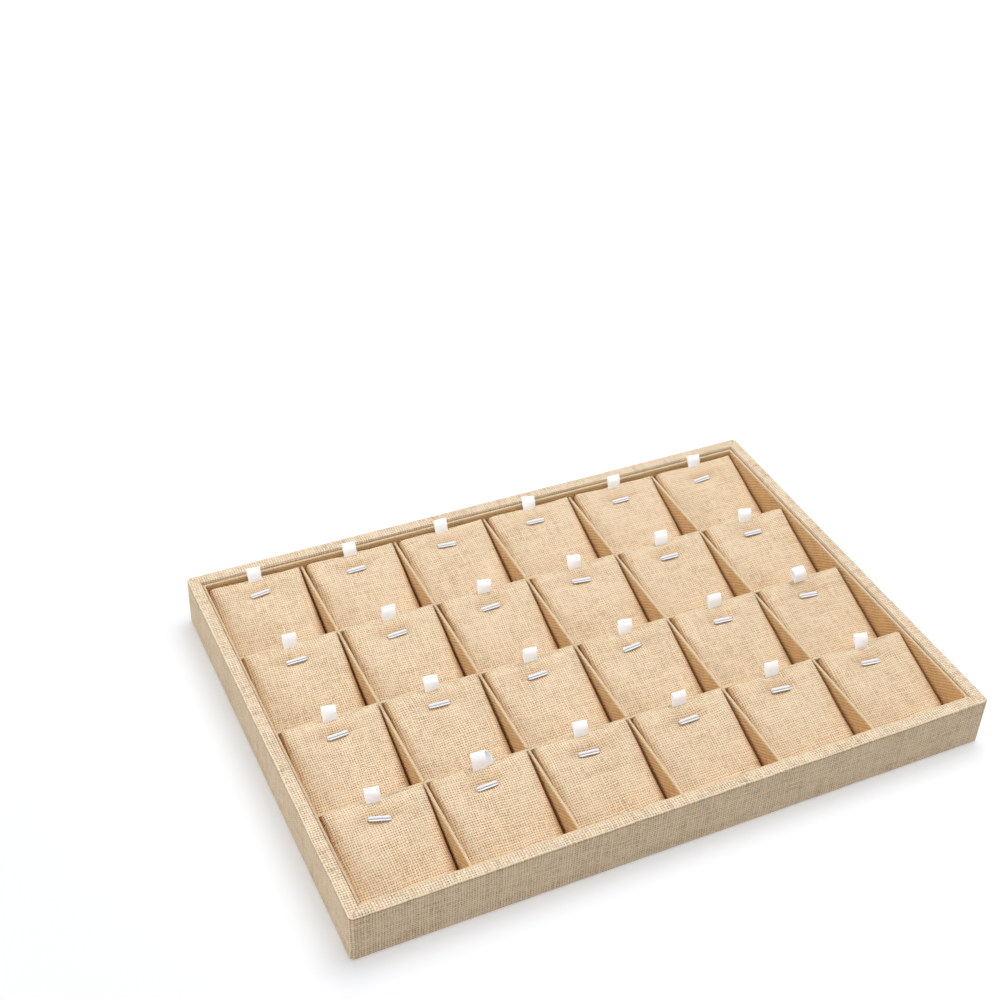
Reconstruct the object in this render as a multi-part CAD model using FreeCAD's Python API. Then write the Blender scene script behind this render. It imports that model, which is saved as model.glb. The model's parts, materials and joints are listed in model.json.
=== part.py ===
import FreeCAD, Part
import math
import os

# Pendant display tray, in millimetres.
# X runs along the tray's length, Y from front to rear, Z up.
# The origin is the centre of the face that the tray rests on.

# Box
TRAY_LENGTH = 350.0
TRAY_DEPTH = 250.0
TRAY_HEIGHT = 30.0
WALL_THICKNESS = 6.5
CORNER_RADIUS = 2.5
RIM_RADIUS = 1.0
FOOT_BREAK = 0.8
BASE_THICKNESS = 3.0
BASE_LET_IN = 3.0
BASE_FIT = 0.2
COVER_THICKNESS = 0.6
COVER_INSET = 3.0
COVER_CORNER_RADIUS = 4.0

# Liner strips that stand inside the walls
LINER_THICKNESS = 1.3
LINER_SLIT = 0.4
LINER_BELOW_RIM = 1.6
CARD_EDGE_BREAK = 0.4

# Egg-crate of dividers
COLUMNS = 6
ROWS = 4
DIVIDER_THICKNESS = 1.5
DIVIDER_BELOW_RIM = 5.2
SLOT_CLEARANCE = 0.15
LAP_CLEARANCE = 0.3

# Wedge pads
PAD_SIDE_CLEARANCE = 0.9
PAD_END_CLEARANCE = 1.2
PAD_ABOVE_DIVIDERS = 2.4
PAD_FRONT_HEIGHT = 5.0
PAD_CROWN = 0.9
PAD_DRAW_IN = 0.6
PAD_ROLL_RADIUS = 1.8
PAD_CORNER_SNIP = 1.0

# Satin pull loops
RIBBON_WIDTH = 7.8
RIBBON_THICKNESS = 0.4
RIBBON_RISE = 8.0
RIBBON_TAIL = 8.0
RIBBON_FOLD_GAP = 0.5
RIBBON_BELLY = 2.0
RIBBON_FIT = 0.1

# Pendant clips
CLIP_LENGTH = 11.5
CLIP_STEEL = 0.4
CLIP_MOUTH = 0.5
CLIP_LIP_RADIUS = 0.75
CLIP_LIP_TURN = 105.0
CLIP_DEPTH = 5.5
CLIP_FROM_REAR = 11.0
CLIP_ABOVE_CLOTH = 0.25
CLIP_FIT = 0.3

# Sizes that follow
WALL_BOTTOM = COVER_THICKNESS
FLOOR = COVER_THICKNESS + BASE_THICKNESS
LINER_TOP = TRAY_HEIGHT - LINER_BELOW_RIM
DIVIDER_TOP = TRAY_HEIGHT - DIVIDER_BELOW_RIM
LINER_SET_BACK = WALL_THICKNESS + LINER_SLIT
INNER_SET_BACK = LINER_SET_BACK + LINER_THICKNESS
INNER_LENGTH = TRAY_LENGTH - 2 * INNER_SET_BACK
INNER_DEPTH = TRAY_DEPTH - 2 * INNER_SET_BACK
CELL_LENGTH = (INNER_LENGTH - (COLUMNS - 1) * DIVIDER_THICKNESS) / COLUMNS
CELL_DEPTH = (INNER_DEPTH - (ROWS - 1) * DIVIDER_THICKNESS) / ROWS
COLUMN_PITCH = CELL_LENGTH + DIVIDER_THICKNESS
ROW_PITCH = CELL_DEPTH + DIVIDER_THICKNESS
PAD_WIDTH = CELL_LENGTH - 2 * PAD_SIDE_CLEARANCE
PAD_DEPTH = CELL_DEPTH - 2 * PAD_END_CLEARANCE
PAD_REAR_HEIGHT = DIVIDER_TOP + PAD_ABOVE_DIVIDERS - FLOOR
PAD_SLOPE = math.atan2(PAD_REAR_HEIGHT - PAD_FRONT_HEIGHT, PAD_DEPTH)

X_AXIS = FreeCAD.Vector(1, 0, 0)
Y_AXIS = FreeCAD.Vector(0, 1, 0)
Z_AXIS = FreeCAD.Vector(0, 0, 1)
SAME_PLACE = 1e-6


def line(start, end):
    return Part.LineSegment(start, end).toShape()


def arc(start, middle, end):
    return Part.Arc(start, middle, end).toShape()


def rounded_wire(corners):
    """Closed wire through corners, each a point and the radius that rounds it."""
    entries = []
    middles = []
    exits = []
    for index, (corner, radius) in enumerate(corners):
        back = (corners[index - 1][0] - corner).normalize()
        onward = (corners[(index + 1) % len(corners)][0] - corner).normalize()
        half_angle = back.getAngle(onward) / 2
        reach = radius / math.tan(half_angle)
        inward = (back + onward).normalize()
        entries.append(corner + back * reach)
        middles.append(corner + inward * (radius / math.sin(half_angle) - radius))
        exits.append(corner + onward * reach)
    edges = []
    for index, (corner, radius) in enumerate(corners):
        edges.append(line(exits[index - 1], entries[index]))
        if radius > 0:
            edges.append(arc(entries[index], middles[index], exits[index]))
    return Part.Wire(edges)


def plate(length, depth, bottom, top, corner_radius=0.0):
    """Upright prism on a rectangle centred in plan, with rounded vertical corners."""
    corners = []
    for x_side, y_side in ((-1, -1), (1, -1), (1, 1), (-1, 1)):
        corner = FreeCAD.Vector(x_side * length / 2, y_side * depth / 2, bottom)
        corners.append((corner, corner_radius))
    return Part.Face(rounded_wire(corners)).extrude(Z_AXIS * (top - bottom))


def card_strip(length, thickness, bottom, top):
    """Covered card standing along X, centred in plan, with both upper edges broken."""
    half = thickness / 2
    shoulder = top - CARD_EDGE_BREAK
    flat = half - CARD_EDGE_BREAK
    rear = [(half, bottom), (half, shoulder), (flat, top)]
    front = [(-y, z) for y, z in reversed(rear)]
    points = [FreeCAD.Vector(-length / 2, y, z) for y, z in rear + front]
    outline = Part.makePolygon(points + points[:1])
    return Part.Face(outline).extrude(X_AXIS * length)


def turned(shape):
    """Copy of a shape turned a quarter turn in plan, from X to Y."""
    copy = shape.copy()
    copy.rotate(FreeCAD.Vector(0, 0, 0), Z_AXIS, 90)
    return copy


def moved(shape, x, y, z=0.0):
    return shape.translated(FreeCAD.Vector(x, y, z))


def edges_at_height(shape, height):
    """Edges that lie wholly at one height."""
    found = []
    for edge in shape.Edges:
        low = edge.BoundBox.ZMin
        high = edge.BoundBox.ZMax
        if abs(low - height) < SAME_PLACE and abs(high - height) < SAME_PLACE:
            found.append(edge)
    return found


def wall_frame():
    """Closed frame of the four walls, with soft rim and foot edges and a seat for the base."""
    block = plate(TRAY_LENGTH, TRAY_DEPTH, WALL_BOTTOM, TRAY_HEIGHT, CORNER_RADIUS)
    block = block.makeFillet(RIM_RADIUS, edges_at_height(block, TRAY_HEIGHT))
    block = block.makeChamfer(FOOT_BREAK, edges_at_height(block, WALL_BOTTOM))
    inside = 2 * WALL_THICKNESS
    hollow = plate(TRAY_LENGTH - inside, TRAY_DEPTH - inside, WALL_BOTTOM, TRAY_HEIGHT)
    frame = block.cut(hollow)
    inner_rim = []
    for edge in edges_at_height(frame, TRAY_HEIGHT):
        middle = edge.BoundBox.Center
        in_length = abs(middle.x) < TRAY_LENGTH / 2 - WALL_THICKNESS + SAME_PLACE
        in_depth = abs(middle.y) < TRAY_DEPTH / 2 - WALL_THICKNESS + SAME_PLACE
        if in_length and in_depth:
            inner_rim.append(edge)
    frame = frame.makeFillet(RIM_RADIUS, inner_rim)
    seat = 2 * (WALL_THICKNESS - BASE_LET_IN)
    return frame.cut(plate(TRAY_LENGTH - seat, TRAY_DEPTH - seat, WALL_BOTTOM, FLOOR))


def mitre_wedge(x_side, y_side):
    """Prism that holds one wall of the frame, cut at 45 degrees at both ends."""
    reach = INNER_SET_BACK
    outer_x = TRAY_LENGTH / 2
    outer_y = TRAY_DEPTH / 2
    inner_x = outer_x - reach
    inner_y = outer_y - reach
    if y_side:
        points = [(-outer_x, outer_y), (outer_x, outer_y), (inner_x, inner_y), (-inner_x, inner_y)]
    else:
        points = [(outer_x, -outer_y), (outer_x, outer_y), (inner_x, inner_y), (inner_x, -inner_y)]
    side = x_side + y_side
    corners = []
    for x, y in points:
        corners.append((FreeCAD.Vector(side * x, side * y, 0), 0.0))
    return Part.Face(rounded_wire(corners)).extrude(Z_AXIS * TRAY_HEIGHT)


def slots(strip, places, bottom, top):
    """A strip along X with a half-lap slot at each place along it."""
    width = DIVIDER_THICKNESS + 2 * SLOT_CLEARANCE
    for place in places:
        strip = strip.cut(moved(plate(width, 2 * DIVIDER_THICKNESS, bottom, top), place, 0))
    return strip


def grid_lines(count, pitch):
    """Places of the dividers between count cells, centred on zero."""
    return [(index - count / 2) * pitch for index in range(1, count)]


def cell_centres(count, pitch):
    return [(index - (count - 1) / 2) * pitch for index in range(count)]


def crest(y):
    """Height of a pad's upper face along its middle, above the pad's underside."""
    return PAD_FRONT_HEIGHT + y * math.tan(PAD_SLOPE)


def pad_outline():
    """Pad seen from above, as an upright prism: left and right sides drawn in, corners snipped."""
    half = PAD_WIDTH / 2
    snip = PAD_CORNER_SNIP
    halfway = [(half - snip, 0), (half, snip), (half - PAD_DRAW_IN, PAD_DEPTH / 2)]
    onward = [(x, PAD_DEPTH - y) for x, y in reversed(halfway[:2])]
    right = [FreeCAD.Vector(x, y, 0) for x, y in halfway + onward]
    left = [FreeCAD.Vector(-point.x, point.y, 0) for point in reversed(right)]
    edges = []
    for side, after in ((right, left), (left, right)):
        edges.append(line(side[0], side[1]))
        edges.append(arc(side[1], side[2], side[3]))
        edges.append(line(side[3], side[4]))
        edges.append(line(side[4], after[0]))
    return Part.Face(Part.Wire(edges)).extrude(Z_AXIS * 2 * PAD_REAR_HEIGHT)


def pad_crown():
    """Long block under a crowned upper face that slopes as a pad does and rolls over at both sides."""
    half = PAD_WIDTH / 2
    crown_radius = (half**2 + PAD_CROWN**2) / (2 * PAD_CROWN)
    roll_x = half - PAD_ROLL_RADIUS
    roll_z = math.sqrt((crown_radius - PAD_ROLL_RADIUS) ** 2 - roll_x**2) - crown_radius
    lean = math.atan2(roll_x, roll_z + crown_radius)
    mid_lean = (lean + math.pi / 2) / 2
    bend_x = roll_x + PAD_ROLL_RADIUS * math.sin(mid_lean)
    bend_z = roll_z + PAD_ROLL_RADIUS * math.cos(mid_lean)
    crown_x = crown_radius * math.sin(lean)
    crown_z = crown_radius * (math.cos(lean) - 1)
    right = []
    left = []
    for x, z in ((half, -2 * PAD_REAR_HEIGHT), (half, roll_z), (bend_x, bend_z), (crown_x, crown_z)):
        right.append(FreeCAD.Vector(x, -PAD_DEPTH, z))
        left.append(FreeCAD.Vector(-x, -PAD_DEPTH, z))
    section = Part.Wire([
        line(left[0], right[0]),
        line(right[0], right[1]),
        arc(right[1], right[2], right[3]),
        arc(right[3], FreeCAD.Vector(0, -PAD_DEPTH, 0), left[3]),
        arc(left[3], left[2], left[1]),
        line(left[1], left[0]),
    ])
    block = Part.Face(section).extrude(Y_AXIS * 3 * PAD_DEPTH)
    block.rotate(FreeCAD.Vector(0, 0, 0), X_AXIS, math.degrees(PAD_SLOPE))
    return moved(block, 0, 0, PAD_FRONT_HEIGHT)


def on_slope(shape):
    """Moves a shape from the origin to the clip's place, tilted to the pad's slope."""
    y = PAD_DEPTH - CLIP_FROM_REAR
    placed = shape.copy()
    placed.rotate(FreeCAD.Vector(0, 0, 0), X_AXIS, math.degrees(PAD_SLOPE))
    return moved(placed, 0, y, crest(y))


def bent_sheet(inner_face, thickness, width):
    """Thin sheet laid on the outer side of a wire in the YZ plane, centred on X."""
    section = inner_face.makeOffset2D(thickness, join=2, fill=True, openResult=True)
    return moved(section, -width / 2, 0).extrude(X_AXIS * width)


def clip():
    """Spring clip: two leaves joined by a fold below, with lips curled outwards above."""
    leaf = CLIP_MOUTH / 2
    radius = CLIP_LIP_RADIUS
    turn = math.radians(CLIP_LIP_TURN)
    root = CLIP_ABOVE_CLOTH - (radius - CLIP_STEEL) * math.sin(turn)

    def lip_point(side, angle):
        y = side * (leaf + radius - radius * math.cos(angle))
        return FreeCAD.Vector(0, y, root + radius * math.sin(angle))

    front_fold = FreeCAD.Vector(0, -leaf, -CLIP_DEPTH)
    rear_fold = FreeCAD.Vector(0, leaf, -CLIP_DEPTH)
    inner_face = Part.Wire([
        arc(lip_point(-1, turn), lip_point(-1, turn / 2), lip_point(-1, 0)),
        line(lip_point(-1, 0), front_fold),
        line(front_fold, rear_fold),
        line(rear_fold, lip_point(1, 0)),
        arc(lip_point(1, 0), lip_point(1, turn / 2), lip_point(1, turn)),
    ])
    return bent_sheet(inner_face, CLIP_STEEL, CLIP_LENGTH)


def clip_slit():
    """Slit in the pad that takes the clip's two leaves."""
    width = CLIP_MOUTH + 2 * CLIP_STEEL + 2 * CLIP_FIT
    bottom = -CLIP_DEPTH - CLIP_STEEL - CLIP_FIT
    return plate(CLIP_LENGTH + 2 * CLIP_FIT, width, bottom, PAD_CROWN)


def ribbon_middle():
    """Y of the plane between the two legs of a pull loop."""
    return PAD_DEPTH - RIBBON_BELLY / 2 - RIBBON_THICKNESS


def ribbon():
    """Satin loop: two legs down the pad's rear face, a slight belly above it, and a crease on top."""
    middle = ribbon_middle()
    leg = RIBBON_FOLD_GAP / 2
    belly = RIBBON_BELLY / 2
    crease = PAD_REAR_HEIGHT + RIBBON_RISE - RIBBON_THICKNESS
    widest = PAD_REAR_HEIGHT + RIBBON_RISE / 2
    foot = PAD_REAR_HEIGHT - RIBBON_TAIL
    front = [(-leg, foot), (-leg, PAD_REAR_HEIGHT), (-belly, widest), (-leg, crease)]
    rear = [(-y, z) for y, z in reversed(front)]
    points = [FreeCAD.Vector(0, middle + y, z) for y, z in front + rear]
    return bent_sheet(Part.makePolygon(points), -RIBBON_THICKNESS, RIBBON_WIDTH)


def ribbon_recess():
    """Notch in the pad's rear face that the legs of the pull loop lie in."""
    front = ribbon_middle() - RIBBON_FOLD_GAP / 2 - RIBBON_THICKNESS - RIBBON_FIT
    depth = PAD_DEPTH - front
    bottom = PAD_REAR_HEIGHT - RIBBON_TAIL - RIBBON_FIT
    recess = plate(RIBBON_WIDTH + 2 * RIBBON_FIT, depth, bottom, 2 * PAD_REAR_HEIGHT)
    return moved(recess, 0, front + depth / 2)


def box_parts():
    parts = {
        "base_cover": plate(
            TRAY_LENGTH - 2 * COVER_INSET,
            TRAY_DEPTH - 2 * COVER_INSET,
            0,
            COVER_THICKNESS,
            COVER_CORNER_RADIUS,
        ),
    }
    base_set_back = 2 * (WALL_THICKNESS - BASE_LET_IN + BASE_FIT)
    parts["base_board"] = plate(
        TRAY_LENGTH - base_set_back, TRAY_DEPTH - base_set_back, COVER_THICKNESS, FLOOR
    )
    frame = wall_frame()
    parts["front_wall"] = frame.common(mitre_wedge(0, -1))
    parts["rear_wall"] = frame.common(mitre_wedge(0, 1))
    parts["left_wall"] = frame.common(mitre_wedge(-1, 0))
    parts["right_wall"] = frame.common(mitre_wedge(1, 0))
    return parts


def liner_parts():
    long_strip = card_strip(INNER_LENGTH + 2 * LINER_THICKNESS, LINER_THICKNESS, FLOOR, LINER_TOP)
    short_strip = turned(card_strip(INNER_DEPTH, LINER_THICKNESS, FLOOR, LINER_TOP))
    along_y = (INNER_DEPTH + LINER_THICKNESS) / 2
    along_x = (INNER_LENGTH + LINER_THICKNESS) / 2
    return {
        "front_liner": moved(long_strip, 0, -along_y),
        "rear_liner": moved(long_strip, 0, along_y),
        "left_liner": moved(short_strip, -along_x, 0),
        "right_liner": moved(short_strip, along_x, 0),
    }


def divider_parts():
    column_lines = grid_lines(COLUMNS, COLUMN_PITCH)
    row_lines = grid_lines(ROWS, ROW_PITCH)
    lap = (FLOOR + DIVIDER_TOP) / 2
    column_strip = card_strip(INNER_DEPTH, DIVIDER_THICKNESS, FLOOR, DIVIDER_TOP)
    column_strip = turned(slots(column_strip, row_lines, lap - LAP_CLEARANCE / 2, DIVIDER_TOP))
    row_strip = card_strip(INNER_LENGTH, DIVIDER_THICKNESS, FLOOR, DIVIDER_TOP)
    row_strip = slots(row_strip, column_lines, FLOOR, lap + LAP_CLEARANCE / 2)
    return {
        "column_dividers": Part.makeCompound([moved(column_strip, x, 0) for x in column_lines]),
        "row_dividers": Part.makeCompound([moved(row_strip, 0, y) for y in row_lines]),
    }


def pad_parts():
    """Pads with their pull loops, and their clips, row 1 at the rear and column 1 at the left."""
    pad = pad_outline().common(pad_crown())
    pad = pad.cut(on_slope(clip_slit())).cut(ribbon_recess())
    loop = ribbon()
    spring = on_slope(clip())
    parts = {}
    for row, y in enumerate(reversed(cell_centres(ROWS, ROW_PITCH)), start=1):
        for column, x in enumerate(cell_centres(COLUMNS, COLUMN_PITCH), start=1):
            front = y - PAD_DEPTH / 2
            place = f"r{row}c{column}"
            pair = [moved(pad, x, front, FLOOR), moved(loop, x, front, FLOOR)]
            parts[f"pad_{place}"] = Part.makeCompound(pair)
            parts[f"clip_{place}"] = moved(spring, x, front, FLOOR)
    return parts


os.makedirs("parts", exist_ok=True)
for make in (box_parts, liner_parts, divider_parts, pad_parts):
    for name, shape in make().items():
        shape.exportStep(f"parts/{name}.step")
        print(name, len(shape.Solids), "solids", round(shape.Volume, 1), "mm3", shape.isValid())
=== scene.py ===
# %% [markdown]
# # A burlap pendant tray
# The tray is a board box wrapped in jute burlap. An egg-crate of covered card stands inside it, and
# each cell holds a loose sloping pad with a steel clip and a white satin loop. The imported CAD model
# gives the places and main sizes, so this lesson only makes what the eye sees: cloth, satin, steel.

# %% Load the frame
import json
import math
import random
from functools import partialmethod

import bmesh
import bpy
from mathutils import Matrix, Quaternion, Vector, noise


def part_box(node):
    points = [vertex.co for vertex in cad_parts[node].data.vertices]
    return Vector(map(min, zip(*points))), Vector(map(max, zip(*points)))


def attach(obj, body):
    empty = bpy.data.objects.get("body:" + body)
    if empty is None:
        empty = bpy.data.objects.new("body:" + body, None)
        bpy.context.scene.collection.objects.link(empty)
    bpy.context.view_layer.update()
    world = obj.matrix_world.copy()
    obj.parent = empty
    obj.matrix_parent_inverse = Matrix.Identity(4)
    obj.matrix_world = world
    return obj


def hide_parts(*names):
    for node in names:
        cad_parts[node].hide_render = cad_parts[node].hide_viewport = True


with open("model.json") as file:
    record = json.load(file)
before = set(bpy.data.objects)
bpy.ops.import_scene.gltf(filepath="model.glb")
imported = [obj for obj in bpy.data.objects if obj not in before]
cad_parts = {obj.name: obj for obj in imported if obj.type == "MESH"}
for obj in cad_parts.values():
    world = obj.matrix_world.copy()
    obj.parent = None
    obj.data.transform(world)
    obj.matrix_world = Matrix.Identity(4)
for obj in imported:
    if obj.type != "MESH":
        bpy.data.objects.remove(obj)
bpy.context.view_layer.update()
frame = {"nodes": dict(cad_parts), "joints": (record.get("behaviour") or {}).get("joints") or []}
MM = 0.001
places = [joint["name"].removeprefix("lift_") for joint in frame["joints"]]

# %% [markdown]
# ## Camera
# The photograph looks down on the tray from its front left corner. The angles below were fitted to
# the tray's corners and clips. The picture's horizon leans a little, which is the roll.

# %% Camera
CAMERA_PLACE = Vector((-0.32679, -0.55758, 0.61452))
CAMERA_AZIMUTH = math.radians(26.545)
CAMERA_ELEVATION = math.radians(37.512)
CAMERA_ROLL = math.radians(-2.574)
CAMERA_LENS = 58.97


def link(obj):
    bpy.context.scene.collection.objects.link(obj)
    return obj


level = Vector((math.sin(CAMERA_AZIMUTH), math.cos(CAMERA_AZIMUTH), 0)) * math.cos(CAMERA_ELEVATION)
sight = level - Vector((0, 0, math.sin(CAMERA_ELEVATION)))
lens = bpy.data.cameras.new("photo_camera")
lens.lens = CAMERA_LENS
camera = link(bpy.data.objects.new("photo_camera", lens))
camera.rotation_mode = "QUATERNION"
camera.rotation_quaternion = Quaternion(sight, CAMERA_ROLL) @ sight.to_track_quat("-Z", "Y")
camera.location = CAMERA_PLACE
bpy.context.scene.camera = camera
print("camera at", tuple(camera.location))

# %% [markdown]
# ## Node helpers
# Shader trees and geometry trees are built from the same few calls: put a node into the tree, feed
# its inputs, and pick an output. An output is wrapped as a Value, so that a sum in this script
# becomes a Math node in the tree.

# %% Node helpers
VECTOR = "ShaderNodeVectorMath"
SOCKET_KINDS = {float: "Float", int: "Int"}


class Value:
    """Output of a node. Arithmetic with it adds a Math node to its tree."""

    def __init__(self, socket):
        self.socket = socket
        self.tree = socket.id_data

    def then(self, operation, *others, node="ShaderNodeMath"):
        return made(self.tree, node, dict(enumerate((self, *others))), operation=operation)

    __add__ = partialmethod(then, "ADD")
    __sub__ = partialmethod(then, "SUBTRACT")
    __mul__ = partialmethod(then, "MULTIPLY")
    __truediv__ = partialmethod(then, "DIVIDE")
    __gt__ = partialmethod(then, "GREATER_THAN")

    def __rsub__(self, other):
        return made(self.tree, "ShaderNodeMath", {0: other, 1: self}, operation="SUBTRACT")

    def parts(self):
        return [Value(part) for part in put(self.tree, "ShaderNodeSeparateXYZ", {0: self}).outputs]


def feed(socket, value):
    """Joins an input to another node's output, or sets it to a plain value."""
    if isinstance(value, Value):
        socket.id_data.links.new(value.socket, socket)
    elif socket.type == "RGBA":
        socket.default_value = (*value, 1)
    elif socket.type == "VECTOR" and isinstance(value, float):
        socket.default_value = (value,) * 3
    else:
        socket.default_value = value


def set_all(thing, settings):
    for name, value in settings.items():
        setattr(thing, name, value)


def put(tree, kind, inputs=None, **settings):
    """Adds a node with its settings, and feeds its inputs by name or number."""
    node = tree.nodes.new(kind)
    set_all(node, settings)
    for key, value in (inputs or {}).items():
        feed(node.inputs[key], value)
    return node


def made(tree, kind, inputs=None, output=0, **settings):
    """One output of a new node."""
    return Value(put(tree, kind, inputs, **settings).outputs[output])


def vector(tree, x=0.0, y=0.0, z=0.0):
    return made(tree, "ShaderNodeCombineXYZ", {0: x, 1: y, 2: z})


def cloud(where, scale, detail=2.0, **settings):
    """Smooth random value of a noise node, or its colour."""
    values = {"Vector": where, "Scale": scale, "Detail": detail}
    return made(where.tree, "ShaderNodeTexNoise", values, **settings)


def wobble(where, scale, reach):
    """Smooth random offset of up to half the reach each way."""
    offset = cloud(where, scale, output="Color").then("SUBTRACT", 0.5, node=VECTOR)
    return offset.then("MULTIPLY", reach, node=VECTOR)


def sway(chance, share, base):
    """Base value, moved up or down by a random value's share."""
    return (chance - 0.5).then("MULTIPLY_ADD", share, base)


def blend(share, first, second, **settings):
    """Mix of two colours, all of the second one where the share is 1. The node's inputs have the
    same names for every type, so they are picked by number."""
    colours = {0: share, 6: first, 7: second}
    return made(share.tree, "ShaderNodeMix", colours, 2, data_type="RGBA", **settings)


def ramp(value, low, high, at_low=0.0, at_high=1.0):
    """Value carried over from one range to another, and held at its ends."""
    return made(value.tree, "ShaderNodeMapRange", {0: value, 1: low, 2: high, 3: at_low, 4: at_high})


def new_tree(name, kind, inputs, outputs):
    """Node group with named inputs, each given a number or a kind of socket, and named outputs."""
    tree = bpy.data.node_groups.new(name, kind)
    for label, value in inputs.items():
        socket_kind = SOCKET_KINDS.get(type(value), value)
        socket = tree.interface.new_socket(label, in_out="INPUT", socket_type=f"NodeSocket{socket_kind}")
        if value != socket_kind:
            socket.default_value = value
    for label, socket_kind in outputs.items():
        tree.interface.new_socket(label, in_out="OUTPUT", socket_type=f"NodeSocket{socket_kind}")
    entry = tree.nodes.new("NodeGroupInput").outputs
    return tree, lambda label: Value(entry[label]), tree.nodes.new("NodeGroupOutput").inputs


def new_finish(name, roughness):
    """Material with its tree for more nodes, and the inputs of its Principled shader."""
    finish = bpy.data.materials.new(name)
    finish.use_nodes = True
    shader = finish.node_tree.nodes["Principled BSDF"].inputs
    feed(shader["Roughness"], roughness)
    return finish, finish.node_tree, shader


print("node helpers ready")

# %% [markdown]
# ## Floor and light
# A white sweep under one soft light, above and a little to the right and behind, and a weaker one
# that brightens the left faces but not the floor. The floor is given a painted glow, dimmer near the
# tray and brighter further out, so that it stays white beyond the tray's soft shadow. The steel mirrors
# a brighter tent than the one that lights the cloth. Standard colour keeps the cloth's tan as it is
# mixed.

# %% Floor and light
FLOOR_REACH = 8.0
FLOOR_PAINT, FLOOR_ROUGHNESS = (0.695, 0.715, 0.745), 0.8
FLOOR_GLOW, FAR_GLOW = 0.34, 0.75
GLOW_FROM, GLOW_TO = 0.3, 1.5
SKY_STRENGTH, TENT_STRENGTH = 0.36, 1.12
KEY_PLACE, KEY_POWER, KEY_SIZE = Vector((0.27, 0.2, 1.5)), 18.0, 1.1
FILL_PLACE, FILL_POWER, FILL_SIZE = Vector((-1.3, -0.1, 0.7)), 5.5, 0.7


def area_light(name, place, power, size):
    """Soft light that points at the tray, and isn't mirrored in the steel."""
    lamp = bpy.data.lights.new(name, "AREA")
    lamp.energy = power
    lamp.size = size
    obj = link(bpy.data.objects.new(name, lamp))
    obj.location = place
    obj.visible_glossy = False
    obj.rotation_euler = (-place).to_track_quat("-Z", "Y").to_euler()
    return obj


def object_spot(tree):
    return made(tree, "ShaderNodeTexCoord", output="Object")


floor_mesh = bpy.data.meshes.new("floor")
floor_corners = [(x * FLOOR_REACH, y * FLOOR_REACH, 0) for x, y in ((-1, -1), (1, -1), (1, 1), (-1, 1))]
floor_mesh.from_pydata(floor_corners, [], [range(4)])
floor = link(bpy.data.objects.new("floor", floor_mesh))
floor_paint, floor_tree, floor_shader = new_finish("white_sweep", FLOOR_ROUGHNESS)
away = made(floor_tree, VECTOR, {0: object_spot(floor_tree)}, "Value", operation="LENGTH")
feed(floor_shader["Base Color"], FLOOR_PAINT)
# Painted glow of the floor, dimmer near the tray and brighter further out.
feed(floor_shader["Emission Color"], ramp(away, GLOW_FROM, GLOW_TO, FLOOR_GLOW, FAR_GLOW))
feed(floor_shader["Emission Strength"], 1.0)
floor_mesh.materials.append(floor_paint)
sky = bpy.data.worlds.new("studio")
sky.use_nodes = True
backdrop = sky.node_tree.nodes["Background"].inputs
ray = put(sky.node_tree, "ShaderNodeLightPath").outputs
tent = ramp(Value(ray["Is Glossy Ray"]), 0.0, 1.0, SKY_STRENGTH, TENT_STRENGTH)
feed(backdrop["Color"], (1, 1, 1))
feed(backdrop["Strength"], Value(ray["Is Camera Ray"]) * (1.0 - SKY_STRENGTH) + tent)
bpy.context.scene.world = sky
bpy.context.scene.view_settings.view_transform = "Standard"
area_light("key", KEY_PLACE, KEY_POWER, KEY_SIZE)
fill = area_light("fill", FILL_PLACE, FILL_POWER, FILL_SIZE)
unlit = bpy.data.collections.new("kept_from_fill")
unlit.objects.link(floor)
fill.light_linking.receiver_collection = unlit
unlit.collection_objects[0].light_linking.link_state = "EXCLUDE"
print("floor", 2 * FLOOR_REACH, "m wide, lit by two soft lights")

# %% [markdown]
# ## The weave
# Burlap is a plain weave of uneven jute yarns: each yarn goes over one and under the next, swells
# and thins along its length, and leaves small dark holes between. A picture of cloth would repeat
# and blur, so the pattern is worked out from the cloth's own flat coordinates. Every wall and pad
# can then share one group, with its own yarn size and colours. Noise adds fibres and blotches.

# %% Weave group
WANDER_SCALE = 0.06
TREMBLE_SCALE, TREMBLE_REACH = 0.7, 0.40
WARP_SEED, WEFT_SEED, LANE_STEP = 11.0, 73.0, 3.7
SLUB_SCALE, SLUB_PALE = 0.16, 1.2
FIBRE_ACROSS, FIBRE_ALONG = 5.0, 1.1
FIBRE_PALE, FIBRE_HEIGHT = 1.15, 0.25
YARN_ROUND, YARN_WAVE = 0.55, 0.45
YARN_PALE, CREST_PAINTED_SHADING = 0.36, 0.80
HOLE_FROM, HOLE_TO = -0.35, -0.75
BLOTCH_SCALE, BLOTCH_SHARE = 45.0, 0.6
MOTTLE_SCALE, MOTTLE_SHARE = 420.0, 0.7
YARN_TONES = ("Yarn Light", "Yarn Dark", "Gap")


def yarns(across, along, over, seed, fullness, slub):
    """Height of one set of yarns, each yarn's random tone, and its fibres. Over is 1 where these
    yarns cross over the others, and -1 where they go under."""
    offset = across.then("FRACT") - 0.5
    lane = across.then("FLOOR") * LANE_STEP + seed
    swell = cloud(vector(across.tree, lane, along * SLUB_SCALE), 1.0, 1.0, noise_dimensions="2D")
    side = offset * 2.0 / sway(swell, slub, fullness)
    rounded = 1.0 - side * side
    present = rounded > 0.0
    rounded = rounded.then("MAXIMUM", 0.0).then("SQRT")
    wave = ((along.then("FRACT") - 0.5) * math.pi).then("COSINE") * over
    height = (rounded * YARN_ROUND + wave * YARN_WAVE + 1.0) * present - 1.0
    own = made(across.tree, "ShaderNodeTexWhiteNoise", {"W": lane}, "Value", noise_dimensions="1D")
    thread = vector(across.tree, offset * FIBRE_ACROSS + lane, along * FIBRE_ALONG)
    return height, sway(swell, SLUB_PALE, own), cloud(thread, 1.0, noise_dimensions="2D")


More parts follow.
